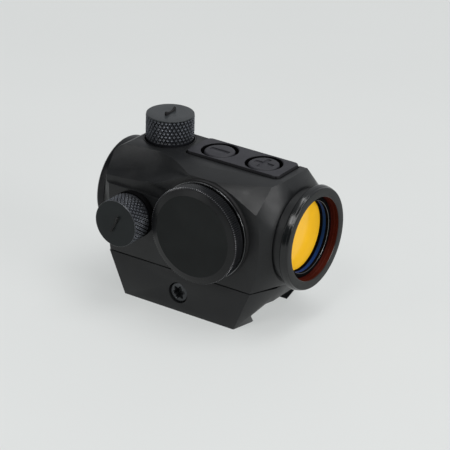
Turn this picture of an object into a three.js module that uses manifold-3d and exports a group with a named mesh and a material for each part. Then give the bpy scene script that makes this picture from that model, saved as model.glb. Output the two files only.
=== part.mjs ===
// Compact red dot finder on a rail clamp base. Units mm, +Z up, +Y towards the objective,
// +X towards the battery cap. The origin lies on the rail seat below the battery axis.
import * as THREE from 'three';
import { ConvexGeometry } from 'three/addons/geometries/ConvexGeometry.js';
import { mergeVertices } from 'three/addons/utils/BufferGeometryUtils.js';
import Module from 'manifold-3d';

const wasm = await Module();
wasm.setup();

// ---- driving dimensions ----
const GAP = 0.3;                 // running gap between neighbours
const ROUND = 40;                // segments of large circles
const SMALL = 24;                // segments of small circles

const AXIS_Z = 17.9;             // height of the optical axis above the rail seat
const WALL_X = 14.7;             // side wall of the housing and of the base
const DECK_Z = 33.9;             // flat top deck
const DECK_W = 6.2;              // half width of the deck
const SPLIT_Z = 5.0;             // top of the base
const BARREL_R = 12.9;           // round ends of the housing
const NECK_R = 12.2;
const BORE_R = 11.0;
const CELL_BORE_R = 11.6;

const BATTERY_Z = 19.4;
const BOSS_R = 12.9;
const BOSS_X = 15.65;
const CAP_R = 13.0;
const COIN_R = 10.0;             // standard 20 mm x 3.2 mm coin cell
const COIN_T = 3.2;

const TURRET_Y = -21.8;
const TURRET_R = 6.0;
const ELEVATION_H = 7.0;
const WINDAGE_H = 6.3;
const WIND_BOSS_X = 15.4;        // end of the windage boss
const WIND_BOSS_R = 5.6;
const LEDGE_X = 13.7;            // inner edge of the narrow ledge under the scoop
const LEDGE_Z = 23.85;
const WIND_FACE_X = 17.2;        // end of the collar on that boss
const LIP = 0.45;                // depth of the recess under the elevation cap

const PAD_W = 5.5;
const PAD_Y0 = -13.2;
const PAD_Y1 = 15.0;
const BUTTON_R = 4.1;
const PAD_RISE = 0.5;
const GROOVE = 0.8;              // dark ring around each button
const MINUS_Y = -6.1;
const PLUS_Y = 7.4;

const BOLT_Y = -7.95;
const BOLT_Z = -1.0;
const BOLT_R = 2.0;
const CLAW_Z = -6.2;             // underside of the claws
const RAIL_W = 10.7;             // half width of the rail at its widest
const SEAT_W = 7.9;              // half width of the rail seat
const SCREW_X = 5.4;
const SCREW_YS = [-22.5, 6.5];

// ---- materials ----
const paint = (color, roughness, metalness) =>
  new THREE.MeshStandardMaterial({ color, roughness, metalness });
const matteBlack = paint(0x26272a, 0.62, 0.6);
const satinBlack = paint(0x1c1f24, 0.45, 0.7);
const glossBlack = paint(0x141518, 0.22, 0.8);
const polished = paint(0xb9bcc0, 0.18, 1.0);
const steel = paint(0x8d9196, 0.35, 1.0);
const darkSteel = paint(0x2b2c2e, 0.4, 0.9);
const brass = paint(0xb08d45, 0.35, 1.0);
const rubber = paint(0x232426, 0.85, 0.0);
const seal = paint(0x161616, 0.7, 0.0);
const board = paint(0x1f5a37, 0.5, 0.0);
const amberGlass = new THREE.MeshStandardMaterial({
  color: 0xe8a020, roughness: 0.05, metalness: 0.6, transparent: true, opacity: 0.75 });
const clearGlass = new THREE.MeshStandardMaterial({
  color: 0xcfe0e4, roughness: 0.03, metalness: 0.0, transparent: true, opacity: 0.35 });
const redLamp = new THREE.MeshStandardMaterial({
  color: 0xd02018, roughness: 0.3, metalness: 0.0, emissive: 0x801008 });

// ---- shape helpers ----
function solid(geometry) {
  const g = geometry.clone();
  g.deleteAttribute('normal');
  g.deleteAttribute('uv');
  const merged = mergeVertices(g, 1e-5);
  const p = merged.attributes.position;
  const tris = [];
  let volume = 0;
  const a = new THREE.Vector3();
  const b = new THREE.Vector3();
  const c = new THREE.Vector3();
  for (let i = 0; i < merged.index.count; i += 3) {
    const [u, v, w] = [0, 1, 2].map((k) => merged.index.getX(i + k));
    if (u === v || v === w || w === u) continue;
    a.fromBufferAttribute(p, u);
    b.fromBufferAttribute(p, v);
    c.fromBufferAttribute(p, w);
    volume += a.dot(b.cross(c));
    tris.push([u, v, w]);
  }
  const order = volume < 0 ? tris.map(([u, v, w]) => [u, w, v]) : tris;
  return new wasm.Manifold(new wasm.Mesh({
    numProp: 3,
    vertProperties: new Float32Array(p.array),
    triVerts: new Uint32Array(order.flat()),
  }));
}

const cut = (base, ...tools) => tools.reduce((s, t) => s.subtract(t), base);
const join = (base, ...more) => more.reduce((s, t) => s.add(t), base);

function turn(geometry, axis) {
  if (axis === 'z') geometry.rotateX(Math.PI / 2);
  if (axis === 'x') geometry.rotateZ(-Math.PI / 2);
  return geometry;
}

// A body of revolution. profile = [[radius, distance along axis], ...], closed on itself or on the axis.
function spun(profile, axis, at, segments = ROUND) {
  const points = profile.map(([r, h]) => new THREE.Vector2(r, h));
  const onAxis = profile[0][0] === 0 && profile[profile.length - 1][0] === 0;
  if (!onAxis) points.push(points[0].clone());
  const g = turn(new THREE.LatheGeometry(points, segments), axis);
  g.translate(...at);
  return solid(g);
}

function rod(radius, from, to, axis, at, segments = ROUND) {
  return spun([[0, from], [radius, from], [radius, to], [0, to]], axis, at, segments);
}

function ring(outer, inner, from, to, axis, at, segments = ROUND) {
  return spun([[inner, from], [outer, from], [outer, to], [inner, to]], axis, at, segments);
}

function oring(major, minor, axis, at) {
  const g = new THREE.TorusGeometry(major, minor, 6, 32);
  if (axis === 'x') g.rotateY(Math.PI / 2);
  g.translate(...at);
  return solid(g);
}

function block(x0, x1, y0, y1, z0, z1) {
  const g = new THREE.BoxGeometry(x1 - x0, y1 - y0, z1 - z0);
  g.translate((x0 + x1) / 2, (y0 + y1) / 2, (z0 + z1) / 2);
  return solid(g);
}

function roundedPlate(x0, x1, y0, y1, z0, z1, r) {
  const s = new THREE.Shape();
  s.moveTo(x0 + r, y0);
  s.lineTo(x1 - r, y0);
  s.absarc(x1 - r, y0 + r, r, -Math.PI / 2, 0);
  s.lineTo(x1, y1 - r);
  s.absarc(x1 - r, y1 - r, r, 0, Math.PI / 2);
  s.lineTo(x0 + r, y1);
  s.absarc(x0 + r, y1 - r, r, Math.PI / 2, Math.PI);
  s.lineTo(x0, y0 + r);
  s.absarc(x0 + r, y0 + r, r, Math.PI, 1.5 * Math.PI);
  const g = new THREE.ExtrudeGeometry(s, { depth: z1 - z0, bevelEnabled: false, curveSegments: 5 });
  g.translate(0, 0, z0);
  return solid(g);
}

// Polygon in the X-Z plane, extruded along Y.
function sectionXZ(points, y0, y1) {
  const s = new THREE.Shape(points.map(([x, z]) => new THREE.Vector2(x, z)));
  const g = new THREE.ExtrudeGeometry(s, { depth: y1 - y0, bevelEnabled: false });
  g.rotateX(Math.PI / 2);
  g.translate(0, y1, 0);
  return solid(g);
}

const group = new THREE.Group();
group.name = 'red_dot_finder';

function put(name, shape, material) {
  const m = shape.getMesh();
  const g = new THREE.BufferGeometry();
  g.setAttribute('position', new THREE.BufferAttribute(new Float32Array(m.vertProperties), 3));
  g.setIndex(new THREE.BufferAttribute(new Uint32Array(m.triVerts), 1));
  g.computeVertexNormals();
  const node = new THREE.Mesh(g, material);
  node.name = name;
  group.add(node);
}

const optical = [0, 0, AXIS_Z];
const battery = [0, 0, BATTERY_Z];

// ---- housing ----
function circlePoints(radius, y, count) {
  return Array.from({ length: count }, (_, i) => {
    const t = (i / count) * 2 * Math.PI;
    return new THREE.Vector3(radius * Math.cos(t), y, AXIS_Z + radius * Math.sin(t));
  });
}

const LOW = SPLIT_Z + GAP;
const vectors = (rows) => rows.map(([x, y, z]) => new THREE.Vector3(x, y, z));

function housingBlock() {
  const side = (s) => [
    [s * WALL_X, 16.0, 23.5], [s * WALL_X, 16.3, 20.5], [s * WALL_X, 16.2, 15.0],
    [s * WALL_X, 15.4, 10.5], [s * WALL_X, 14.1, LOW], [s * 7.4, 17.0, LOW],
    [s * WALL_X, -30.4, 23.8], [s * WALL_X, -29.7, LOW], [s * 7.4, -32.0, LOW],
  ];
  const right = [
    [DECK_W, -28.4, DECK_Z], [DECK_W - 1, 17.2, DECK_Z], [9.3, 15.9, DECK_Z - 0.6],
    [WALL_X, -30.4, 32.8], [WALL_X, 2.5, 33.0], [WALL_X, 7.5, 31.1], [WALL_X, 15.1, 27.2],
  ];
  const left = [
    [-DECK_W, -28.4, DECK_Z], [1 - DECK_W, 17.2, DECK_Z], [-WALL_X, -30.9, 25.4],
    [-WALL_X, 15.1, 25.4],
  ];
  return solid(new ConvexGeometry([
    ...vectors([...side(1), ...side(-1), ...right, ...left]),
    ...circlePoints(BARREL_R, 18.9, 36), ...circlePoints(BARREL_R, -33.2, 36)]));
}

// Hollowed shoulder behind the battery boss: a leaning floor that sweeps out to the side wall.
// Each station of the sweep runs from the top edge over a steep, then flattening, curve.
function scoop() {
  const top = [
    [11.6, -38], [10.2, -30.2], [9.5, -26], [8.8, -22], [8.75, -19], [9.5, -15.5], [11.5, -11],
    [14.3, -6.2], [17.5, -2.4], [30, 6],
  ];
  const low = [
    [LEDGE_X, -38, 25.3], [LEDGE_X, -27, 26.0], [LEDGE_X, -21, 26.6], [30, -38, 25.3],
    [30, -17.8, 27.0],
  ];
  const sweep = [
    [[8.75, -19, 33.1], [11.3, -18.6, 28.3], [14.3, -17.8, 27.0]],
    [[9.1, -17.2, 33.1], [11.1, -16.6, 28.4], [14.5, -16, 27.8]],
    [[9.5, -15.5, 33.1], [11.0, -14.6, 28.9], [14.8, -14, 28.7]],
    [[10.4, -13.2, 33.1], [11.6, -12.5, 29.7], [14.9, -11.5, 29.9]],
    [[11.5, -11, 33.1], [12.4, -10.4, 30.6], [15.0, -9, 30.9]],
    [[14.3, -6.2, 33.1], [14.6, -5.8, 32.4], [15.4, -4.4, 32.7]],
  ];
  const curves = sweep.flatMap((row) =>
    new THREE.QuadraticBezierCurve3(...vectors(row)).getPoints(5));
  return solid(new ConvexGeometry([
    ...vectors([...top.map(([x, y]) => [x, y, 33.1]), ...top.map(([x, y]) => [x - 1.3, y, 36]), ...low]),
    ...curves]));
}

function housing() {
  const turretAt = [0, TURRET_Y, AXIS_Z];
  let body = cut(housingBlock(), scoop(), block(LEDGE_X, 20, -40, -12.5, LEDGE_Z, 27.2));
  body = join(
    body,
    rod(NECK_R, 12, 21.4, 'y', optical),
    rod(BOSS_R, 8, BOSS_X, 'x', battery),
    rod(WIND_BOSS_R, 11, WIND_BOSS_X, 'x', turretAt));
  body = cut(
    body,
    rod(BORE_R, -40, 30, 'y', optical),
    rod(CELL_BORE_R, 12, 30, 'y', optical),
    rod(11.9, 12.3, 30, 'x', battery),
    roundedPlate(-PAD_W - GAP, PAD_W + GAP, PAD_Y0 - GAP, PAD_Y1 + GAP, DECK_Z - 2.8, 40, 1.6),
    rod(2.6, 8, 40, 'z', [0, TURRET_Y, AXIS_Z], SMALL),
    rod(4.6, DECK_Z - 2, 40, 'z', [0, TURRET_Y, 0], SMALL),
    rod(6.6, DECK_Z - LIP, 40, 'z', [0, TURRET_Y, 0]),
    rod(2.6, 8, 40, 'x', turretAt, SMALL),
    rod(4.6, WIND_BOSS_X - 0.2, 40, 'x', turretAt, SMALL),
    springPocket(1.7, 9.0, 15.2));
  for (const y of SCREW_YS) {
    for (const x of [-SCREW_X, SCREW_X]) body = cut(body, rod(1.5, 0, 7.4, 'z', [x, y, 0], 16));
  }
  return body;
}

// A rod pointing down and to the left from the optical axis, towards the return spring.
function springPocket(radius, from, to) {
  const g = new THREE.CylinderGeometry(radius, radius, to - from, 20);
  g.translate(0, -(from + to) / 2, 0);
  g.rotateX(Math.PI / 2);
  g.rotateY(Math.PI / 4);
  g.translate(0, TURRET_Y, AXIS_Z);
  return solid(g);
}

put('housing', housing(), matteBlack);

// ---- objective end ----
put('objective_bezel', spun([
  [11.04, 23.74], [13.1, 23.74], [13.4, 23.5], [13.86, 21.9], [13.7, 21.7],
  [11.3, 21.7], [11.3, 20.3], [10.76, 20.3], [10.76, 21.7], [10.84, 21.85],
], 'y', optical, 48), glossBlack);
put('objective_retainer', spun([
  [9.75, 18.9], [11.3, 18.9], [11.3, 20.0], [10.46, 20.0], [10.46, 21.5], [9.9, 21.5], [9.75, 21.3],
], 'y', optical), satinBlack);
put('objective_lens', spun([
  [0, 14.6], [5, 14.4], [9.9, 14.0], [9.9, 18.3], [9.45, 18.8], [7.5, 19.0], [4, 19.18], [0, 19.25],
], 'y', optical), amberGlass);
put('pivot_ring', ring(11.35, 10.98, 14.2, 16.2, 'y', optical), brass);
put('inner_tube', spun([
  [9.0, -23.6], [10.0, -23.6], [10.0, 11.0], [10.7, 12.6], [10.7, 18.3], [10.2, 18.3],
  [10.2, 13.7], [9.0, 13.0],
], 'y', optical), satinBlack);
put('light_baffle', ring(8.7, 7.9, -2.0, -1.2, 'y', optical), satinBlack);
put('emitter_block', block(6.6, 8.3, -17, -12.6, AXIS_Z - 1.4, AXIS_Z + 1.4), board);
put('emitter_lamp', rod(0.55, -12.3, -11.4, 'y', [7.4, 0, AXIS_Z], 16), redLamp);

// ---- eyepiece end ----
put('eyepiece_ring', spun([
  [10.4, -36.0], [12.2, -36.0], [12.7, -35.5], [12.7, -33.5], [10.2, -33.5], [10.2, -34.6],
], 'y', optical), glossBlack);
put('eyepiece_window', rod(10.7, -33.1, -31.5, 'y', optical), clearGlass);
put('eyepiece_spacer', ring(10.7, 9.9, -31.2, -29.6, 'y', optical), satinBlack);

// ---- return spring ----
class Helix extends THREE.Curve {
  getPoint(t, target = new THREE.Vector3()) {
    const a = t * 4 * 2 * Math.PI;
    return target.set(1.1 * Math.cos(a), -11.0 - 3.7 * t, 1.1 * Math.sin(a));
  }
}
function returnSpring() {
  const wire = new THREE.Shape();
  wire.absarc(0, 0, 0.22, 0, 2 * Math.PI);
  const g = new THREE.ExtrudeGeometry(wire, {
    steps: 40, extrudePath: new Helix(), curveSegments: 3, bevelEnabled: false });
  g.rotateX(Math.PI / 2);
  g.rotateY(Math.PI / 4);
  g.translate(0, TURRET_Y, AXIS_Z);
  return solid(g);
}
put('return_spring', returnSpring(), steel);

// ---- battery side ----
put('circuit_board', rod(11.4, 12.6, 13.2, 'x', battery), board);
put('battery_contact', spun([
  [0, 13.5], [3.0, 13.5], [3.0, 13.65], [1.6, 13.85], [0, 13.85],
], 'x', battery, SMALL), brass);
const COIN_X = 14.15;
put('coin_cell', spun([
  [0, COIN_X], [COIN_R - 0.6, COIN_X], [COIN_R, COIN_X + 0.5], [COIN_R, COIN_X + COIN_T],
  [0, COIN_X + COIN_T],
], 'x', battery), steel);
put('battery_ring', ring(13.25, 12.0, 15.95, 16.3, 'x', battery, 48), polished);
put('battery_o_ring', oring(12.1, 0.28, 'x', [16.95, 0, BATTERY_Z]), seal);
put('battery_cap', spun([
  [0, 17.65], [12.5, 17.65], [12.5, 16.6], [CAP_R, 16.6], [CAP_R, 20.0], [12.8, 20.15],
  [10.9, 20.7], [0, 20.7],
], 'x', battery, 48), satinBlack);
put('battery_thread', ring(11.6, 10.5, 13.9, 17.35, 'x', battery, 48), satinBlack);

// ---- button pad ----
let pad = roundedPlate(-PAD_W, PAD_W, PAD_Y0, PAD_Y1, DECK_Z - 2.5, DECK_Z + PAD_RISE, 1.4);
for (const y of [MINUS_Y, PLUS_Y]) {
  pad = cut(pad, rod(BUTTON_R + GROOVE, 30, 40, 'z', [0, y, 0]));
}
put('button_pad', pad, rubber);

// A disc with its sign sunk into the top.
function button(y, bars) {
  const disc = spun([
    [0, -0.8], [BUTTON_R, -0.8], [BUTTON_R, 0.2], [BUTTON_R - 0.35, PAD_RISE], [0, PAD_RISE],
  ], 'z', [0, y, DECK_Z]);
  return cut(disc, ...bars.map(([w, h]) =>
    block(-w / 2, w / 2, y - h / 2, y + h / 2, DECK_Z + PAD_RISE - 0.25, DECK_Z + 2)));
}
put('minus_button', button(MINUS_Y, [[1.3, 5.6]]), rubber);
put('plus_button', button(PLUS_Y, [[1.3, 5.6], [5.6, 1.3]]), rubber);
for (const [name, y] of [['minus_switch', MINUS_Y], ['plus_switch', PLUS_Y]]) {
  put(name, spun([[0, -2.5], [2.6, -2.5], [2.3, -2.1], [1.3, -1.8], [0, -1.7]],
    'z', [0, y, DECK_Z], SMALL), steel);
}

// ---- adjusting turrets ----
// rise() takes profiles as [radius, distance above the face that carries the turret].
function turret(prefix, axis, face, height, tip, bladeTurn) {
  const at = axis === 'z' ? [0, TURRET_Y, 0] : [0, TURRET_Y, AXIS_Z];
  const rise = (profile) => profile.map(([r, h]) => [r, face + h]);
  put(`${prefix}_plunger`, spun([
    [0, tip], [1.0, tip], [1.3, tip + 0.3], [1.3, face - 0.6], [0, face - 0.6],
  ], axis, at, 20), brass);
  put(`${prefix}_bushing`, spun(rise([
    [2.5, -1.7], [4.3, -1.7], [4.3, 4.3], [3.4, 4.3], [3.4, 2.0], [2.5, 2.0],
  ]), axis, at, SMALL), satinBlack);
  const dial = spun(rise([
    [0, 0.6], [1.6, 0.6], [1.6, -2.0], [2.2, -2.0], [2.2, 2.3], [3.1, 2.3], [3.1, 4.1], [0, 4.1],
  ]), axis, at, SMALL);
  const slot = axis === 'z'
    ? block(-2.4, 2.4, TURRET_Y - 0.4, TURRET_Y + 0.4, face + 3.3, face + 5)
    : block(face + 3.3, face + 5, TURRET_Y - 2.4, TURRET_Y + 2.4, AXIS_Z - 0.4, AXIS_Z + 0.4);
  put(`${prefix}_dial`, cut(dial, slot), brass);
  put(`${prefix}_o_ring`, oring(5.05, 0.32, axis,
    axis === 'z' ? [0, TURRET_Y, face + 0.65] : [face + 0.65, TURRET_Y, AXIS_Z]), seal);
  const cap = spun(rise([
    [0, 5.0], [4.6, 5.0], [4.6, 1.3], [5.55, 1.3], [5.55, 0.3], [TURRET_R, 0.3],
    [TURRET_R, height - 0.2], [TURRET_R - 0.2, height], [0, height],
  ]), axis, at, 40);
  const blade = new THREE.BoxGeometry(4.6, 0.8, 1.2);
  blade.translate(0, 0, height + 0.4);
  blade.rotateZ(bladeTurn);
  if (axis === 'x') blade.rotateY(Math.PI / 2);
  blade.translate(axis === 'x' ? face : 0, TURRET_Y, axis === 'x' ? AXIS_Z : face);
  put(`${prefix}_cap`, join(cap, solid(blade)), satinBlack);
}
turret('elevation', 'z', DECK_Z, ELEVATION_H, AXIS_Z + 10.3, 0.07);
turret('windage', 'x', WIND_FACE_X, WINDAGE_H, 10.3, 2.69);
put('windage_collar', ring(
  TURRET_R + 0.3, 4.6, WIND_BOSS_X + GAP, WIND_FACE_X, 'x', [0, TURRET_Y, AXIS_Z], 48), satinBlack);

// ---- rail clamp base ----
// A large block whose face passes through three points, on the side away from the base's middle.
function halfSpace(p, q, r) {
  const [a, b, c] = vectors([p, q, r]);
  const normal = b.clone().sub(a).cross(c.clone().sub(a)).normalize();
  const outward = Math.sign(normal.dot(a.clone().sub(new THREE.Vector3(0, BOLT_Y, 0))));
  const g = new THREE.BoxGeometry(80, 80, 20);
  g.translate(0, 0, 10);
  g.applyQuaternion(new THREE.Quaternion().setFromUnitVectors(
    new THREE.Vector3(0, 0, 1), normal.multiplyScalar(outward)));
  g.translate(a.x, a.y, a.z);
  return solid(g);
}

function baseEnds(shape) {
  const tools = [
    halfSpace([0, 15.2, 0], [5, 15.2, 0], [0, 17.3, SPLIT_Z]),
    halfSpace([0, -31.2, 0], [5, -31.2, 0], [0, -33.3, SPLIT_Z])];
  for (const s of [-1, 1]) {
    tools.push(
      halfSpace([s * WALL_X, 9.4, CLAW_Z], [s * WALL_X, 14.0, SPLIT_Z], [s * 9.8, 14.2, 0]),
      halfSpace([s * WALL_X, 9.4, CLAW_Z], [s * 8.85, 10.7, CLAW_Z], [s * 10.2, 14.1, 0]),
      halfSpace([s * WALL_X, -24.8, CLAW_Z], [s * WALL_X, -29.9, SPLIT_Z], [s * 9.8, -29.8, 0]));
  }
  return cut(shape, ...tools);
}

function baseBody() {
  const section = [
    [WALL_X, SPLIT_Z], [-WALL_X, SPLIT_Z], [-WALL_X, 2.4], [-10.2, 2.4], [-10.2, -2.3],
    [-SEAT_W, 0], [SEAT_W, 0], [RAIL_W, -2.8], [RAIL_W, -3.2], [8.0, -5.9],
    [8.3, CLAW_Z], [WALL_X, CLAW_Z],
  ];
  let body = baseEnds(sectionXZ(section, -38, 24));
  body = cut(body,
    rod(BOLT_R + GAP, -30, 30, 'x', [0, BOLT_Y, BOLT_Z], SMALL),
    rod(2.9, 12.6, 30, 'x', [0, BOLT_Y, BOLT_Z], SMALL));
  for (const y of SCREW_YS) {
    for (const x of [-SCREW_X, SCREW_X]) {
      body = cut(body, rod(1.5, -1, 8, 'z', [x, y, 0], 16), rod(2.4, -3, 2.4, 'z', [x, y, 0], 16));
    }
  }
  return body;
}
put('rail_base', baseBody(), matteBlack);

function clampJaw() {
  const section = [
    [-WALL_X, 2.1], [-10.5, 2.1], [-10.5, -3.0], [-RAIL_W, -3.2], [-8.0, -5.9],
    [-8.3, CLAW_Z], [-WALL_X, CLAW_Z],
  ];
  const body = baseEnds(sectionXZ(section, -38, 24));
  return cut(body, rod(BOLT_R + GAP, -30, 0, 'x', [0, BOLT_Y, BOLT_Z], SMALL));
}
put('clamp_jaw', clampJaw(), matteBlack);

function crossBolt() {
  const bolt = spun([
    [0, -17.2], [1.7, -17.2], [BOLT_R, -16.8], [BOLT_R, 12.9], [2.6, 12.9], [2.6, 14.1],
    [2.4, 14.4], [0, 14.4],
  ], 'x', [0, BOLT_Y, BOLT_Z], SMALL);
  const star = new THREE.Shape();
  for (let i = 0; i <= 36; i++) {
    const t = (i / 36) * 2 * Math.PI;
    const r = 1.42 + 0.26 * Math.cos(6 * t);
    if (i === 0) star.moveTo(r, 0);
    else star.lineTo(r * Math.cos(t), r * Math.sin(t));
  }
  const g = new THREE.ExtrudeGeometry(star, { depth: 3, bevelEnabled: false });
  g.rotateY(Math.PI / 2);
  g.translate(13.2, BOLT_Y, BOLT_Z);
  return cut(bolt, solid(g));
}
put('cross_bolt', crossBolt(), darkSteel);

function clampNut() {
  const nut = rod(3.1, -16.9, -WALL_X - GAP, 'x', [0, BOLT_Y, BOLT_Z], 6);
  return cut(nut, rod(BOLT_R + GAP, -18, -12, 'x', [0, BOLT_Y, BOLT_Z], SMALL));
}
put('clamp_nut', clampNut(), darkSteel);

SCREW_YS.forEach((y, row) => {
  [-SCREW_X, SCREW_X].forEach((x, side) => {
    const screw = spun([
      [0, 0.4], [2.1, 0.4], [2.1, 2.1], [1.2, 2.1], [1.2, 7.1], [0, 7.1],
    ], 'z', [x, y, 0], 16);
    const hex = rod(1.0, -1, 1.5, 'z', [x, y, 0], 6);
    put(`base_screw_${['rear', 'front'][row]}_${['left', 'right'][side]}`, cut(screw, hex), steel);
  });
});

export default group;
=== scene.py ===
"""Looks of the compact red dot finder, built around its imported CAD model.

Shapes below are written in millimetres in the part's own frame (+Z up, +Y towards the objective,
+X towards the battery cap) and scaled to metres when a mesh is made.
"""
import math

import bmesh
import bpy
from mathutils import Matrix, Vector


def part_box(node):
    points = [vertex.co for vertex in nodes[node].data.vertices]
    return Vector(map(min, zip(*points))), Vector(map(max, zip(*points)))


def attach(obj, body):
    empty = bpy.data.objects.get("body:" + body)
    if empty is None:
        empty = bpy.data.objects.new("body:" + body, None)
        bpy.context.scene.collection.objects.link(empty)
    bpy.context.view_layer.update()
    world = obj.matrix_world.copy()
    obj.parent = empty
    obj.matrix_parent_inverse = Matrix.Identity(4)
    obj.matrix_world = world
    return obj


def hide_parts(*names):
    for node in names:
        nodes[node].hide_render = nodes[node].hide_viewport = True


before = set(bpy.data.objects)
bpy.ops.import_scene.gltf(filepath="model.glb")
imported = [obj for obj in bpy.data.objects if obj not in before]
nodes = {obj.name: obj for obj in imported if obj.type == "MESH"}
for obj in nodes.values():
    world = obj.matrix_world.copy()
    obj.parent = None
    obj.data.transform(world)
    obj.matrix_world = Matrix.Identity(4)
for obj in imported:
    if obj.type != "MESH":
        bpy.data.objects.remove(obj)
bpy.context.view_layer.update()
MM = 0.001
TAU = 2 * math.pi


def span(node):
    """Lowest and highest corner of a CAD node, in millimetres."""
    return [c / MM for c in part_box(node)]


def middle(node):
    lo, hi = span(node)
    return (lo + hi) / 2


AXIS_Z = middle("objective_bezel").z
BATTERY_Z = middle("battery_cap").z
TURRET_Y = middle("elevation_cap").y
DECK_Z = span("housing")[1].z
FLOOR_Z = span("rail_base")[0].z
OPTICAL = Vector((0, 0, AXIS_Z))
BATTERY = Vector((0, 0, BATTERY_Z))


def place(axis, centre, r, h, t):
    c, s = r * math.cos(t), r * math.sin(t)
    at = {"x": (h, c, s), "y": (c, h, s), "z": (c, s, h)}[axis]
    return Vector(at) + Vector(centre)


# ---------------------------------------------------------------- materials
def linear(r, g, b):
    def one(v):
        v /= 255
        return v / 12.92 if v <= 0.04045 else ((v + 0.055) / 1.055) ** 2.4
    return (one(r), one(g), one(b), 1.0)


class Graph:
    """A small helper that adds nodes to a material and links them."""

    def __init__(self, name):
        self.material = bpy.data.materials.new(name)
        self.material.use_nodes = True
        self.tree = self.material.node_tree
        self.shader = self.tree.nodes["Principled BSDF"]
        self.coords = self.add("ShaderNodeTexCoord").outputs["Object"]

    def add(self, kind, **settings):
        node = self.tree.nodes.new(kind)
        for key, value in settings.items():
            if key in node.inputs:
                self.put(node.inputs[key], value)
            else:
                setattr(node, key, value)
        return node

    def put(self, socket, value):
        if isinstance(value, bpy.types.NodeSocket):
            self.tree.links.new(value, socket)
        else:
            socket.default_value = value

    def math(self, operation, a, b=0.0):
        node = self.add("ShaderNodeMath", operation=operation)
        self.put(node.inputs[0], a)
        self.put(node.inputs[1], b)
        return node.outputs[0]

    def noise(self, size_mm, detail=2.0, roughness=0.5):
        node = self.add("ShaderNodeTexNoise", Scale=1 / (size_mm * MM), Detail=detail,
                        Roughness=roughness, Vector=self.coords)
        return node.outputs["Fac"]

    def remap(self, value, low, high, to_low, to_high):
        node = self.add("ShaderNodeMapRange")
        for key, v in (("Value", value), ("From Min", low), ("From Max", high),
                       ("To Min", to_low), ("To Max", to_high)):
            self.put(node.inputs[key], v)
        return node.outputs["Result"]

    def blend(self, factor, a, b):
        node = self.add("ShaderNodeMix", data_type="RGBA")
        self.put(node.inputs[0], factor)
        self.put(node.inputs[6], a)
        self.put(node.inputs[7], b)
        return node.outputs[2]

    def radius(self, centre, axis):
        """Distance from an axis through centre, in metres."""
        mask = [0.0 if k == "xyz".index(axis) else 1.0 for k in range(3)]
        offset = self.add("ShaderNodeVectorMath", operation="SUBTRACT")
        self.put(offset.inputs[0], self.coords)
        offset.inputs[1].default_value = [c * MM for c in centre]
        flat = self.add("ShaderNodeVectorMath", operation="MULTIPLY")
        self.put(flat.inputs[0], offset.outputs[0])
        flat.inputs[1].default_value = mask
        length = self.add("ShaderNodeVectorMath", operation="LENGTH")
        self.put(length.inputs[0], flat.outputs[0])
        return length.outputs["Value"]

    def along(self, axis):
        """Position along an axis, in metres."""
        split = self.add("ShaderNodeSeparateXYZ")
        self.put(split.inputs[0], self.coords)
        return split.outputs["xyz".index(axis)]

    def set(self, **values):
        for key, value in values.items():
            self.put(self.shader.inputs[key.replace("_", " ")], value)


def scaled(colour, k):
    return (colour[0] * k, colour[1] * k, colour[2] * k, 1.0)


def surface(name, colour, roughness, metallic=0.0, specular=0.5, grain=0.14, grain_depth=0.012,
            mottle=0.16, smudge=0.06, turned=None):
    """Painted or anodised finish: cloudy tone, fine grain, smudged gloss, lathe marks."""
    g = Graph(name)
    cloud = g.noise(9, 3)
    fine = g.noise(grain, 2, 0.6)
    tone = g.blend(g.remap(cloud, 0.3, 0.7, 0, 1), scaled(colour, 1 - mottle),
                   scaled(colour, 1 + mottle))
    speck = g.remap(g.noise(grain * 2.5, 1), 0.35, 0.75, 0.0, 0.35)
    tone = g.blend(speck, tone, scaled(colour, 1.5))
    height = fine
    if turned:
        centre, axis, pitch = turned
        marks = g.math("SINE", g.math("MULTIPLY", g.radius(centre, axis), TAU / (pitch * MM)))
        height = g.math("ADD", g.math("MULTIPLY", fine, 0.5), g.math("MULTIPLY", marks, 0.25))
    bump = g.add("ShaderNodeBump", Strength=0.6, Distance=grain_depth * MM, Height=height)
    g.set(Base_Color=tone, Metallic=metallic, Specular_IOR_Level=specular,
          Roughness=g.remap(g.noise(4, 3), 0.3, 0.7, roughness - smudge, roughness + smudge),
          Normal=bump.outputs[0])
    return g.material


MATTE = surface("matte_anodised", linear(27, 28, 29), 0.38, specular=0.27)
SATIN = surface("satin_anodised", linear(40, 43, 45), 0.38, specular=0.30, grain=0.10)
TEETH = surface("fine_toothed_edge", linear(24, 25, 27), 0.30, specular=0.5, grain=0.3,
                grain_depth=0.001)


FRESH_BLACK = (0.006, 0.0065, 0.008, 1)


def crested(name, crest, bare, rise=None):
    """Black anodising in the grooves, rubbed to bare metal on the crests. crest is the centre, axis
    and radius of the crests and the depth of the rubbed zone; rise = (from, to) darkens the crests with
    painted shade towards the cap's base, fading out along the axis."""
    centre, axis, radius, zone = crest
    g = Graph(name)
    rub = g.remap(g.radius(centre, axis), (radius - zone) * MM, (radius - 0.02) * MM, 0, 1)
    rub = g.math("MULTIPLY", rub, g.remap(g.noise(2.2, 3), 0.3, 0.7, 0.6, 1.0))
    # painted shade: less bare metal on the crests towards the cap's base
    if rise:
        rub = g.math("MULTIPLY", rub, g.remap(g.along(axis), rise[0] * MM, rise[1] * MM, 0.15, 1.0))
    g.set(Base_Color=g.blend(rub, FRESH_BLACK, bare), Metallic=g.math("MULTIPLY", rub, 0.9),
          Roughness=g.remap(g.noise(1.5, 2), 0.3, 0.7, 0.28, 0.38), Specular_IOR_Level=0.25)
    return g.material


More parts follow.
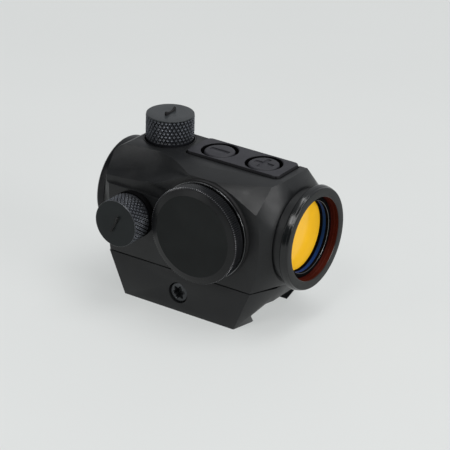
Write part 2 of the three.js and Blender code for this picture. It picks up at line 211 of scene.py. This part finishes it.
CHAMFER = surface("cap_chamfer", linear(17, 18, 19), 0.32, specular=0.26, grain=0.12, grain_depth=0.004)
TIPS = crested("rubbed_teeth_tips", (BATTERY, "x", 13.0, 0.3), bare=(0.26, 0.26, 0.27, 1))
FACE = surface("turned_cap_face", linear(25, 27, 27), 0.48, specular=0.11, grain=0.12,
               turned=(BATTERY, "x", 0.22))
# near-black for gaps, recesses, wells, the retainer and the windage collar: painted shade
PAINTED_SHADE = surface("painted_shade_gap", linear(9, 9, 10), 0.8, specular=0.02)
# a darker copy of the pad rubber for its steep walls: painted shade
PAD_SIDE_SHADE = surface("pad_side_painted_shade", linear(23, 23, 25), 0.6, specular=0.12, grain=0.2, grain_depth=0.02)
# the windage cap's flat faces: a darker copy of the satin finish, painted shade
WIND_FACE_SHADE = surface("windage_cap_face_painted_shade", linear(24, 28, 29), 0.42, specular=0.18, grain=0.10)
BEZEL_FACE = surface("bezel_face", linear(16, 18, 18), 0.34, specular=0.2, grain=0.12,
                     grain_depth=0.004)
EYE_BLACK = surface("eyepiece_black", linear(13, 14, 16), 0.34, specular=0.22, grain=0.12,
                    grain_depth=0.004)
GLOSS = surface("gloss_anodised", linear(12, 14, 15), 0.18, specular=0.42, grain=0.2, grain_depth=0.003,
                turned=(OPTICAL, "y", 0.16))
# the bore's red is a painted reflection of the lens coat
BORE_RED_REFLECTION = surface("bore_painted_red_reflection", (0.040, 0.0045, 0.002, 1), 0.5, specular=0.06, mottle=0.3)
# the retainer's blue band is a painted reflection
RIM_BLUE_REFLECTION = surface("retainer_painted_blue_reflection", (0.008, 0.040, 0.20, 1), 0.5, specular=0.04, mottle=0.2)
CHROME = surface("polished_ring", linear(98, 99, 100), 0.22, metallic=1.0, grain=0.2,
                 grain_depth=0.002, mottle=0.08, smudge=0.05)
STEEL = surface("plain_steel", linear(150, 152, 155), 0.33, metallic=1.0, mottle=0.12)
BLACK_STEEL = surface("black_oxide_steel", linear(62, 64, 66), 0.30, metallic=0.7)
BRASS = surface("turned_brass", linear(190, 152, 84), 0.32, metallic=1.0, mottle=0.2)
RUBBER = surface("moulded_rubber", linear(42, 42, 46), 0.55, specular=0.24, grain=0.2,
                 grain_depth=0.02, mottle=0.1)
SEAL = surface("seal_rubber", linear(20, 20, 21), 0.7, specular=0.3, grain=0.25, grain_depth=0.02)
BOARD = surface("green_board", linear(32, 92, 56), 0.4, mottle=0.25)


def glass(name, colour, alpha, emission=None, roughness=0.06):
    """Coated glass. An emission (colour, strength) is a lamp's own light, or a painted glow that stands
    in for what a coat reflects.
    """
    g = Graph(name)
    cloud = g.remap(g.noise(6, 2), 0.3, 0.7, 0, 1)
    g.set(Base_Color=g.blend(cloud, scaled(colour, 0.93), scaled(colour, 1.05)), Alpha=alpha,
          Specular_IOR_Level=0.2,
          Roughness=g.remap(g.noise(3, 2), 0.3, 0.7, roughness, roughness + 0.05))
    if emission:
        g.set(Emission_Color=emission[0], Emission_Strength=emission[1])
    return g.material


# the amber lens's glow is painted: it stands in for what its coat reflects, it is no lamp
AMBER_GLOW = glass("amber_glass_painted_glow", (0.68, 0.375, 0.016, 1), 1.0,
              emission=((0.85, 0.46, 0.02, 1), 0.31), roughness=0.12)
CLEAR = glass("coated_window", (0.10, 0.14, 0.22, 1), 0.45, roughness=0.04)
LAMP = glass("red_lamp", (0.8, 0.05, 0.03, 1), 1.0, emission=((1, 0.05, 0.02, 1), 0.6))


# ---------------------------------------------------------------- mesh helpers
def smooth_by_angle(mesh, degrees):
    mesh.polygons.foreach_set("use_smooth", [True] * len(mesh.polygons))
    mesh.set_sharp_from_angle(angle=math.radians(degrees))


def loose(name, verts, faces):
    """An object that rides on nothing yet, from millimetre vertices."""
    bm = bmesh.new()
    made = [bm.verts.new(Vector(v) * MM) for v in verts]
    for f in faces:
        if len(set(f)) > 2:
            bm.faces.new([made[i] for i in dict.fromkeys(f)])
    bmesh.ops.recalc_face_normals(bm, faces=bm.faces)
    mesh = bpy.data.meshes.new(name)
    bm.to_mesh(mesh)
    bm.free()
    ob = bpy.data.objects.new(name, mesh)
    bpy.context.scene.collection.objects.link(ob)
    return ob


def bake(ob):
    """Replaces a piece's mesh by its mesh with every modifier applied."""
    dg = bpy.context.evaluated_depsgraph_get()
    mesh = bpy.data.meshes.new_from_object(ob.evaluated_get(dg))
    ob.modifiers.clear()
    old, ob.data = ob.data, mesh
    bpy.data.meshes.remove(old)
    mesh.name = ob.name
    return ob


def carve(ob, *cutters, operation="DIFFERENCE"):
    for cutter in cutters:
        m = ob.modifiers.new("carve", "BOOLEAN")
        m.operation, m.solver, m.object = operation, "EXACT", cutter
    bake(ob)
    for cutter in cutters:
        bpy.data.objects.remove(cutter)
    return ob


def plain(ob, degrees):
    """Joins the doubled points and flat triangles of a CAD mesh, so that its edges can be eased."""
    m = ob.modifiers.new("weld", "WELD")
    m.merge_threshold = 0.001 * MM
    m = ob.modifiers.new("plain", "DECIMATE")
    m.decimate_type, m.angle_limit = "DISSOLVE", math.radians(degrees)


def bevel(ob, width, segments, degrees):
    m = ob.modifiers.new("bevel", "BEVEL")
    m.width, m.segments, m.limit_method = width * MM, segments, "ANGLE"
    m.angle_limit = math.radians(degrees)
    m.miter_outer = "MITER_ARC"
    return ob


def dress(ob, body, slot, *materials, replaces=(), angle=32):
    """Gives a finished piece its materials, body and the CAD nodes it stands for; the slot argument is
    not used.
    """
    ob.data.materials.clear()
    for m in materials:
        ob.data.materials.append(m)
    smooth_by_angle(ob.data, angle)
    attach(ob, body)
    if replaces:
        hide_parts(*replaces)
    return ob


def spun(name, rings, axis, centre, columns=96, knurled=(), closed=False):
    """A body of revolution. Each ring is (radius, height), or a function of the column giving that.
    knurled = range of rings whose cells are split along the valleys of a diamond knurl."""
    verts, rows = [], []
    for ring in rings:
        at = ring if callable(ring) else (lambda i, ring=ring: ring)
        if at(0)[0] == 0:
            verts.append(place(axis, centre, 0, at(0)[1], 0))
            rows.append([len(verts) - 1] * columns)
            continue
        rows.append(list(range(len(verts), len(verts) + columns)))
        verts += [place(axis, centre, *at(i), i * TAU / columns) for i in range(columns)]
    faces = []
    for j in range(len(rows) - (0 if closed else 1)):
        a, b = rows[j], rows[(j + 1) % len(rows)]
        for i in range(columns):
            k = (i + 1) % columns
            quad = [a[i], a[k], b[k], b[i]]
            if j in knurled:
                even = (i + j - knurled[0]) % 2 == 0
                faces += ([[quad[0], quad[1], quad[2]], [quad[0], quad[2], quad[3]]] if even
                          else [[quad[0], quad[1], quad[3]], [quad[1], quad[2], quad[3]]])
            else:
                faces.append(quad)
    return loose(name, verts, faces)


def rounded(profile, radius, closed=True):
    """A profile with its corners turned into small arcs."""
    out, n = [], len(profile)
    for i, p in enumerate(profile):
        if not closed and i in (0, n - 1):
            out.append(tuple(p))
            continue
        p, a, b = Vector(p), Vector(profile[i - 1]), Vector(profile[(i + 1) % n])
        t = min(radius, (a - p).length * 0.4, (b - p).length * 0.4)
        start, end = p + (a - p).normalized() * t, p + (b - p).normalized() * t
        for k in range(4):
            u = k / 3
            q = start * (1 - u) ** 2 + p * 2 * u * (1 - u) + end * u ** 2
            out.append((max(q.x, 0.0), q.y))
    return out


def outline(x0, x1, y0, y1, r, steps=8):
    """Rounded rectangle."""
    points = []
    for cx, cy, start in ((x1 - r, y0 + r, -0.25), (x1 - r, y1 - r, 0), (x0 + r, y1 - r, 0.25),
                          (x0 + r, y0 + r, 0.5)):
        for k in range(steps + 1):
            t = (start + 0.25 * k / steps) * TAU
            points.append((cx + r * math.cos(t), cy + r * math.sin(t)))
    return points


def stack(name, layers, turn=None):
    """A solid through closed outlines with equal point counts: layers = [(points, height), ...]."""
    verts, faces, n = [], [], len(layers[0][0])
    for points, z in layers:
        verts += [(x, y, z) for x, y in points]
    for j in range(len(layers) - 1):
        for i in range(n):
            k = (i + 1) % n
            faces.append([j * n + i, j * n + k, (j + 1) * n + k, (j + 1) * n + i])
    faces.append(list(range(n)))
    faces.append([(len(layers) - 1) * n + i for i in range(n)])
    if turn:
        verts = [turn(Vector(v)) for v in verts]
    return loose(name, verts, faces)


# ---------------------------------------------------------------- housing
def make_housing():
    """The CAD housing with every machined edge eased."""
    ob = bpy.data.objects.new("housing_body", nodes["housing"].data.copy())
    bpy.context.scene.collection.objects.link(ob)
    plain(ob, 0.6)
    bevel(ob, 0.25, 3, 24)
    bake(ob)
    return dress(ob, "sight", "matte_black", MATTE, replaces=["housing"], angle=24)


make_housing()


# ---------------------------------------------------------------- turrets
def make_turret(prefix, axis, blade_turn):
    """A screw cap with a diamond knurl and a finger blade, and the seat it closes on."""
    k = "xyz".index(axis)
    lo, hi = span(prefix + "_cap")
    centre = Vector((0, TURRET_Y + 0.05, 0 if axis == "z" else AXIS_Z))
    radius, depth, columns, rows = 6.34, 0.36, 144, 13
    face, top = lo[k] - 0.3, hi[k] - 1.0
    bottom = face - 0.15

    def course(j):
        """Flat-topped diamonds four columns wide and four rows high between crossing grooves."""
        height = bottom + 0.75 + (top - bottom - 1.1) * j / rows

        def at(i):
            groove = (i + j) % 4 == 0 or (i - j) % 4 == 0
            return radius - (depth if groove else 0.03 * ((i + j) % 2)), height
        return at

    rings = [(0, face + 5.0), (4.5, face + 5.0), (4.6, face + 4.9), (4.6, face + 1.3),
             (5.5, face + 1.3), (5.5, bottom), (5.62, bottom - 0.08),
             (radius - 0.25, bottom - 0.05), (radius - 0.2, bottom + 0.7)]
    first = len(rings)
    rings += [course(j) for j in range(rows + 1)]
    rings += [(radius - 0.12, top - 0.3), (radius - 0.06, top - 0.22), (radius - 0.08, top - 0.1),
              (radius - 0.16, top - 0.02), (radius - 0.3, top), (radius - 2, top), (0, top)]
    cap = spun(prefix + "_knurled_cap", rings, axis, centre, columns, range(first, first + rows))
    bare = (0.14, 0.15, 0.17, 1)
    # the knurl's crests take painted shade near the cap's base
    knurl = crested(prefix + "_knurl", (centre, axis, radius, depth * 0.8), bare=bare,
                    rise=(bottom + 0.4, bottom + 2.6))
    rim = crested(prefix + "_rim", (centre, axis, radius, 0.5), bare=(0.12, 0.125, 0.135, 1))
    dress(cap, prefix + "_cap", "satin_black", knurl, SATIN if axis == "z" else WIND_FACE_SHADE,
          SATIN if axis == "z" else rim, replaces=[prefix + "_cap"], angle=20)
    # the knurl keeps the first finish, flat faces take the second (on the windage cap a darker copy of
    # the satin, as painted shade), the rounded rim the third
    for p in cap.data.polygons:
        if p.center[k] / MM > top - 0.3 or abs(p.normal[k]) > 0.9:
            p.material_index = 2 if abs(p.normal[k]) < 0.97 and p.center[k] / MM > top - 0.3 else 1
    # the finger blade: a thin fin whose ends stand higher than its waist
    side = [(-2.35, -0.3), (2.35, -0.3), (2.45, 0.6), (2.3, 0.95), (1.95, 1.0), (1.5, 0.75), (0.8, 0.45),
            (-0.2, 0.36), (-1.3, 0.5), (-1.9, 0.85), (-2.2, 1.0), (-2.4, 0.85)]
    c, s = math.cos(blade_turn), math.sin(blade_turn)

    def stand(v):
        along, high, across = v
        u, w = along * c - across * s, along * s + across * c
        return (Vector((u, w, high + top)) if axis == "z" else Vector((high + top, u, w))) + centre
    blade = stack(prefix + "_blade", [(side, -0.27), (side, 0.27)], stand)
    bevel(blade, 0.1, 2, 25)
    bake(blade)
    dress(blade, prefix + "_cap", "satin_black", SEAL)
    # the seat under the cap, clear of the cap's lower edge, in near-black painted shade: a ring in the
    # deck's recess for the elevation cap, the collar for the windage cap
    seat_top = face - 0.34
    if axis == "z":
        shade = rounded([(5.8, face - 0.42), (6.95, face - 0.42), (6.95, face + 0.06),
                         (6.5, face - 0.32), (5.8, seat_top)], 0.03)
        recess = spun(prefix + "_recess", shade, axis, centre, 120, closed=True)
        dress(recess, "sight", "seal_rubber", PAINTED_SHADE)
    else:
        sleeve = rounded([(5.7, face - 2.4), (6.1, face - 2.4), (6.1, face - 1.6), (6.35, face - 1.5),
                          (6.35, seat_top), (4.6, seat_top), (4.6, face - 1.5), (5.7, face - 1.6)], 0.06)
        collar = spun(prefix + "_collar_body", sleeve, axis, centre, 120, closed=True)
        dress(collar, "sight", "satin_black", PAINTED_SHADE, replaces=["windage_collar"])


make_turret("elevation", "z", math.radians(4))
make_turret("windage", "x", math.radians(64))


# ---------------------------------------------------------------- battery cap
def make_battery_side():
    outer, face_r, knurl_end, teeth, depth = 13.0, 10.9, 20.1, 144, 0.42
    top = span("battery_cap")[1].x

    def toothed(radius, x):
        return lambda i: (radius - (depth if i % 2 else 0), x(i) if callable(x) else x)
    slope = (top - knurl_end) / (outer - face_r)
    rings = [(0, 17.65), (10.5, 17.65), (10.5, 13.9), (11.6, 13.9), (11.6, 17.3), (12.3, 17.3),
             (12.3, 16.75), (12.4, 16.66), (12.5, 16.68), (12.6, 16.8), toothed(outer - 0.06, 16.95),
             toothed(outer, 17.15), toothed(outer, knurl_end - 0.18),
             toothed(outer - 0.16, lambda i: knurl_end + (depth * slope if i % 2 else 0.04)),
             (12.45, knurl_end + 0.55 * slope), (11.6, knurl_end + 1.4 * slope),
             (face_r + 0.14, top - 0.06), (face_r - 0.02, top - 0.005), (face_r - 0.25, top),
             (8, top), (4, top), (0, top)]
    cap = spun("battery_cap_body", rings, "x", BATTERY, 2 * teeth)
    dress(cap, "battery_cap", "satin_black", CHAMFER, FACE, TEETH, TIPS,
          replaces=["battery_cap", "battery_thread"], angle=14)
    # face, teeth and their rubbed front tips; all the rest is chamfer
    for p in cap.data.polygons:
        r = (p.center / MM - BATTERY).yz.length
        if p.center.x / MM > top - 0.01:
            p.material_index = 1
        elif r > 12.4 and p.center.x / MM < knurl_end:
            p.material_index = 3 if p.center.x / MM > knurl_end - 0.18 else 2
    # a near-black sleeve over the boss behind the cap, where there is only shade: painted shade
    shade = rounded([(12.95, 14.5), (13.35, 14.5), (13.35, 15.6), (12.95, 15.72)], 0.05)
    dress(spun("battery_gap_painted_shade", shade, "x", BATTERY, 160, closed=True), "sight", "seal_rubber", SEAL)
    ring = rounded([(12.0, 16.0), (13.14, 16.0), (13.14, 16.24), (12.0, 16.24)], 0.1)
    dress(spun("battery_ring_body", ring, "x", BATTERY, 160, closed=True), "sight", "polished_ring",
          CHROME, replaces=["battery_ring"], angle=50)


make_battery_side()


# ---------------------------------------------------------------- objective end
def make_objective():
    front = span("objective_bezel")[1].y
    profile = rounded([
        (11.05, front - 0.12), (11.2, front), (13.25, front), (13.42, front - 0.16),
        (13.5, front - 0.62), (13.62, front - 0.7), (13.86, 22.0), (13.7, 21.72), (11.3, 21.72),
        (11.3, 20.3), (10.76, 20.3), (10.76, 21.75), (10.84, 21.85), (10.9, 22.5), (11.0, 22.62)], 0.07)
    bezel = spun("objective_bezel_body", profile, "y", OPTICAL, 176, closed=True)
    dress(bezel, "sight", "gloss_black", GLOSS, BORE_RED_REFLECTION, BEZEL_FACE, replaces=["objective_bezel"],
          angle=24)
    # the bore inside the front edge takes the painted red reflection, and the flat faces that look
    # forward the face finish
    for p in bezel.data.polygons:
        if (p.center / MM - OPTICAL).xz.length < 11.1 and p.center.y / MM < front - 0.1:
            p.material_index = 1
        elif p.normal.y > 0.9:
            p.material_index = 2
    lens_front, dome_radius = 19.25, 210
    retainer = [(9.72, lens_front), (10.62, lens_front), (10.62, 21.5), (10.52, 21.6), (9.78, 21.56),
                (9.66, 21.62), (9.56, 21.56), (9.54, 21.4), (9.58, 20.75), (9.66, 19.8)]
    ring = spun("objective_retainer_body", retainer, "y", OPTICAL, 160, closed=True)
    dress(ring, "sight", "satin_black", PAINTED_SHADE, RIM_BLUE_REFLECTION, CHROME, replaces=["objective_retainer"], angle=24)
    # the ring is near-black painted shade, with a painted blue reflection on a band inside and a
    # polished front lip
    for p in ring.data.polygons:
        r, y = (p.center / MM - OPTICAL).xz.length, p.center.y / MM
        if r < 9.7:
            p.material_index = 1 if 19.85 < y < 21.0 else 2 if y > 21.5 else 0
    dome = [(r, lens_front - r * r / (2 * dome_radius)) for r in (0, 1.5, 3, 4.5, 6, 7.5, 8.7, 9.45)]
    rear = [(9.6, 18.8), (9.6, 14.05), (9.6, 14.0), (5, 14.35), (0, 14.6)]
    lens = spun("objective_lens_body", dome + rear, "y", OPTICAL, 128)
    dress(lens, "inner_tube", "amber_glass", AMBER_GLOW, replaces=["objective_lens"], angle=40)


make_objective()


def make_eyepiece():
    profile = rounded([(10.4, -36.0), (12.1, -36.0), (12.45, -35.85), (12.7, -35.4), (12.7, -33.5),
                       (10.2, -33.5), (10.2, -34.6), (10.4, -34.8)], 0.08)
    dress(spun("eyepiece_ring_body", profile, "y", OPTICAL, 144, closed=True), "sight", "gloss_black",
          EYE_BLACK, replaces=["eyepiece_ring"], angle=24)


make_eyepiece()


# ---------------------------------------------------------------- buttons
def make_buttons():
    lo, hi = span("button_pad")
    rise = hi.z - DECK_Z + 0.15

    def layer(inset, z, r=1.5):
        corner = max(r - inset * 0.4, 0.5)
        return outline(lo.x + inset, hi.x - inset, lo.y + inset, hi.y - inset, corner), z
    pad = stack("button_pad_body", [
        layer(0.05, DECK_Z - 2.5), layer(0, DECK_Z - 2.3), layer(0, DECK_Z - 0.1),
        layer(0.02, DECK_Z + 0.1), layer(0.16, DECK_Z + rise - 0.14),
        layer(0.24, DECK_Z + rise - 0.03), layer(0.4, DECK_Z + rise)])
    wells = []
    spots = [(name, middle(name + "_button").y) for name in ("minus", "plus")]
    for name, y in spots:
        wells.append(spun("well", [(0, DECK_Z - 4), (4.9, DECK_Z - 4), (4.9, DECK_Z + rise - 0.2),
                                   (5.12, DECK_Z + rise + 0.05), (5.12, DECK_Z + 2), (0, DECK_Z + 2)],
                          "z", (0, y, 0), 96))
    carve(pad, *wells)
    dress(pad, "sight", "pad_rubber", RUBBER, PAD_SIDE_SHADE, PAINTED_SHADE, replaces=["button_pad"], angle=28)
    # the pad's outer walls take a darker copy of the rubber as painted shade, and the walls of the two
    # wells near-black painted shade
    for p in pad.data.polygons:
        if abs(p.normal.z) < 0.6:
            x, y = p.center.x / MM, p.center.y / MM
            p.material_index = 1 if abs(x) > 5.2 or not -12.7 < y < 14.5 else 2
    for name, y in spots:
        rim = rounded([(0, DECK_Z - 0.8), (3.95, DECK_Z - 0.8), (4.03, DECK_Z - 0.6),
                       (4.03, DECK_Z + 0.2), (3.75, DECK_Z + 0.5), (2.0, DECK_Z + 0.58),
                       (0, DECK_Z + 0.6)], 0.12, False)
        button = spun(name + "_button_body", rim, "z", (0, y, 0), 96)
        bars = []
        for w, h in [(0.7, 2.85)] + ([(2.85, 0.7)] if name == "plus" else []):
            bars.append(stack("bar", [(outline(-w, w, y - h, y + h, 0.3, 4), DECK_Z + 0.26),
                                      (outline(-w, w, y - h, y + h, 0.3, 4), DECK_Z + 2)]))
        if len(bars) == 2:
            carve(bars[0], bars.pop(), operation="UNION")
        carve(button, *bars)
        bevel(button, 0.08, 2, 40)
        bake(button)
        dress(button, name + "_button", "pad_rubber", RUBBER, replaces=[name + "_button"], angle=35)


make_buttons()


# ---------------------------------------------------------------- cross bolt
def make_bolt():
    at = middle("cross_bolt")
    centre = Vector((0, at.y, at.z))
    tail = span("cross_bolt")[0].x
    profile = [(0, tail), (1.6, tail), (2.0, tail + 0.4), (2.0, 12.7), (2.6, 12.75), (2.72, 12.9),
               (2.72, 13.95), (2.5, 14.25), (2.1, 14.36), (0, 14.4)]
    bolt = spun("cross_bolt_body", rounded(profile, 0.1, False), "x", centre, 96)
    star, steps, lobes = [], 72, 6
    for i in range(steps):
        t = i / steps * TAU
        r = 1.5 + 0.3 * math.cos(lobes * t)
        star.append((r * math.cos(t + 0.2), r * math.sin(t + 0.2)))
    flare = [(x * 1.12, y * 1.12) for x, y in star]

    def stand(v):
        return Vector((v.z, v.x, v.y)) + centre
    socket = stack("socket", [(star, 12.6), (star, 14.15), (flare, 14.45), (flare, 15)], stand)
    carve(bolt, socket)
    dress(bolt, "cross_bolt", "black_steel", BLACK_STEEL, replaces=["cross_bolt"], angle=28)


make_bolt()


# ---------------------------------------------------------------- kept CAD nodes
def keep(names, material, width=0.0, angle=32):
    """CAD nodes that stay: a procedural finish, smooth shading, and eased edges where width is set."""
    for name in names:
        ob = nodes[name]
        ob.data.materials.clear()
        ob.data.materials.append(material)
        smooth_by_angle(ob.data, angle)
        if width:
            plain(ob, 1)
            bevel(ob, width, 3, 28)


keep(["rail_base", "clamp_jaw"], MATTE, 0.22)
keep(["inner_tube", "light_baffle", "eyepiece_spacer", "elevation_bushing", "windage_bushing"], SATIN)
keep(["clamp_nut"], BLACK_STEEL, 0.2)
keep(["pivot_ring", "battery_contact", "elevation_plunger", "windage_plunger", "elevation_dial",
      "windage_dial"], BRASS)
keep(["return_spring", "coin_cell", "minus_switch", "plus_switch"]
     + [n for n in nodes if n.startswith("base_screw")], STEEL)
keep(["battery_o_ring", "elevation_o_ring", "windage_o_ring"], SEAL, angle=60)
keep(["circuit_board", "emitter_block"], BOARD)
keep(["eyepiece_window"], CLEAR)
keep(["emitter_lamp"], LAMP)


# ---------------------------------------------------------------- stage, light, camera
def make_stage():
    size, z = 3000, FLOOR_Z - 0.02
    floor = loose("floor", [(-size, -size, z), (size, -size, z), (size, size, z), (-size, size, z)],
                  [[0, 1, 2, 3]])
    g = Graph("pale_floor")
    cloud = g.remap(g.noise(120, 3), 0.3, 0.7, 0, 1)
    g.set(Base_Color=g.blend(cloud, (0.235, 0.238, 0.235, 1), (0.252, 0.255, 0.252, 1)), Roughness=0.7,
          Specular_IOR_Level=0.1, Emission_Color=(0.97, 1.0, 0.99, 1), Emission_Strength=0.455)
    floor.data.materials.append(g.material)
    world = bpy.data.worlds.new("studio")
    bpy.context.scene.world = world
    world.use_nodes = True
    tree = world.node_tree
    back = tree.nodes["Background"]
    back.inputs[0].default_value = (0.95, 0.97, 1.0, 1)
    # a pale wall behind the object, a dim room behind the camera
    dot = tree.nodes.new("ShaderNodeVectorMath")
    dot.operation = "DOT_PRODUCT"
    dot.inputs[1].default_value = (-0.85, 0.15, 0.50)
    fade = tree.nodes.new("ShaderNodeMapRange")
    fade.inputs["From Min"].default_value, fade.inputs["From Max"].default_value = 0.0, 0.8
    fade.inputs["To Min"].default_value, fade.inputs["To Max"].default_value = 0.08, 0.62
    tree.links.new(tree.nodes.new("ShaderNodeTexCoord").outputs["Generated"], dot.inputs[0])
    tree.links.new(dot.outputs["Value"], fade.inputs["Value"])
    tree.links.new(fade.outputs["Result"], back.inputs[1])


def area(name, position, target, size, energy):
    """A square softbox; position, target and size in metres, energy in watts."""
    light = bpy.data.lights.new(name, "AREA")
    light.shape, light.size, light.energy = "SQUARE", size, energy
    ob = bpy.data.objects.new(name, light)
    bpy.context.scene.collection.objects.link(ob)
    ob.location = position
    ob.rotation_euler = (Vector(target) - Vector(position)).to_track_quat("-Z", "Y").to_euler()


def make_camera():
    camera = bpy.data.cameras.new("camera")
    camera.sensor_width, camera.lens, camera.shift_y = 36, 190.6, 0.0013
    camera.clip_start, camera.clip_end = 0.01, 20
    ob = bpy.data.objects.new("camera", camera)
    bpy.context.scene.collection.objects.link(ob)
    azimuth, elevation, roll = math.radians(33.474), math.radians(24.825), math.radians(1.766)
    back = Vector((math.cos(elevation) * math.cos(azimuth), math.cos(elevation) * math.sin(azimuth),
                   math.sin(elevation)))
    right = Vector((-math.sin(azimuth), math.cos(azimuth), 0))
    up = back.cross(right)
    across = math.cos(roll) * right + math.sin(roll) * up
    upward = math.cos(roll) * up - math.sin(roll) * right
    turn = Matrix((across, upward, back)).transposed().to_4x4()
    ob.matrix_world = Matrix.Translation((0.46691, 0.30494, 0.27283)) @ turn
    bpy.context.scene.camera = ob


make_stage()
area("top_softbox", (-0.10, 0.18, 0.75), (0, 0, 0), 0.42, 3.0)
area("front_softbox", (0.04, 0.84, 0.32), (0, 0, 0.01), 0.38, 3.6)
area("camera_softbox", (0.47, 0.09, 0.60), (0, 0, 0.01), 0.24, 1.5)
area("left_softbox", (0.585, -0.30, 0.36), (0, 0, 0.02), 0.20, 0.5)
area("rim_light", (0.35, 0.78, 0.33), (0, 0, 0.02), 0.12, 0.25)
area("left_card", (0.66, -0.38, 0.08), (0, 0, 0.02), 0.24, 0.3)
make_camera()
bpy.context.scene.view_settings.view_transform = "Standard"
